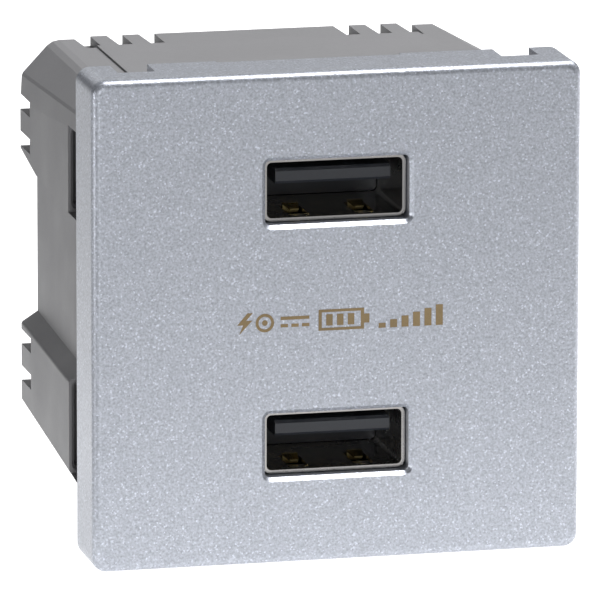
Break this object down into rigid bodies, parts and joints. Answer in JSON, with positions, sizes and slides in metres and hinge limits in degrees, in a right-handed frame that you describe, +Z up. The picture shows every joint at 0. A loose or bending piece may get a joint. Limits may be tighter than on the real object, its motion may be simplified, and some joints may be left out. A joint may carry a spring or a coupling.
{
  "type": "usb wall charging module",
  "caption": "Square flush wall module with two stacked USB-A sockets in a metallic silver front, grey clip-in housing behind, rear wire entries and cage terminals.",
  "frame": {"origin": "centre of the module on the plane of the rim's rear face, where it seats on the support frame", "axes": "+X to the right seen from the front, +Y into the wall, +Z up"},
  "size_m": [0.045, 0.0325, 0.045],
  "materials": {
    "silver_paint": "metallic flake paint on moulded plastic, satin",
    "grey_plastic": "fine matt texture",
    "rear_plastic": "fine matt texture",
    "steel_sheet": "nickel plated, satin",
    "black_plastic": "moulded, satin",
    "gold": "gold plated",
    "board_laminate": "solder mask",
    "tinned_metal": "tin plated brass",
    "clear_sheet": "smooth film",
    "ferrite": "sintered",
    "copper_wire": "enamelled wire",
    "yellow_tape": "polyester tape",
    "capacitor_sleeve": "shrink sleeve",
    "blue_epoxy": "dipped epoxy",
    "brown_plastic": "moulded",
    "chip_plastic": "moulded epoxy",
    "ceramic": "sintered ceramic",
    "terminal_plastic": "moulded polyamide",
    "zinc_steel": "zinc plated",
    "bronze_ink": "printed"
  },
  "bodies": {
    "module": {"front_cover": "silver_paint", "carrier_frame": "silver_paint", "housing": "grey_plastic", "rear_cover": "rear_plastic", "upper_usb_shell": "steel_sheet", "lower_usb_shell": "steel_sheet", "upper_usb_insulator": "black_plastic", "lower_usb_insulator": "black_plastic", "upper_usb_contacts": "gold", "lower_usb_contacts": "gold", "usb_board": "board_laminate", "main_board": "board_laminate", "pin_header": "black_plastic", "board_pins": "tinned_metal", "insulating_sheet": "clear_sheet", "transformer_core": "ferrite", "transformer_bobbin": "black_plastic", "transformer_winding": "copper_wire", "transformer_tape": "yellow_tape", "input_capacitors": "capacitor_sleeve", "output_capacitors": "capacitor_sleeve", "varistor": "blue_epoxy", "suppression_capacitor": "blue_epoxy", "input_fuse": "brown_plastic", "input_choke": "ferrite", "choke_coil": "copper_wire", "bridge_rectifier": "chip_plastic", "optocoupler": "chip_plastic", "controller_chip": "chip_plastic", "output_diode": "chip_plastic", "charge_controller": "chip_plastic", "filter_capacitors": "ceramic", "terminal_block": "terminal_plastic", "line_bus_bar": "tinned_metal", "neutral_bus_bar": "tinned_metal", "printed_marks": "bronze_ink"},
    "line_screw": {"line_terminal_screw": "zinc_steel"},
    "line_clamp": {"line_cage": "zinc_steel"},
    "neutral_screw": {"neutral_terminal_screw": "zinc_steel"},
    "neutral_clamp": {"neutral_cage": "zinc_steel"}
  },
  "joints": [
    {"name": "line_screw_turn", "type": "hinge", "parent": "module", "child": "line_screw", "pos_m": [-0.0045, 0.0181, -0.01645], "axis": [0, 0, 1], "range_deg": [0, 1440]},
    {"name": "line_clamp_rise", "type": "slide", "parent": "module", "child": "line_clamp", "axis": [0, 0, -1], "range_m": [0, 0.002]},
    {"name": "neutral_screw_turn", "type": "hinge", "parent": "module", "child": "neutral_screw", "pos_m": [0.0045, 0.0181, -0.01645], "axis": [0, 0, 1], "range_deg": [0, 1440]},
    {"name": "neutral_clamp_rise", "type": "slide", "parent": "module", "child": "neutral_clamp", "axis": [0, 0, -1], "range_m": [0, 0.002]}
  ],
  "couplings": [
    {"joint": "line_screw_turn", "follows": "line_clamp_rise", "rad_per_m": 12566},
    {"joint": "neutral_screw_turn", "follows": "neutral_clamp_rise", "rad_per_m": 12566}
  ]
}
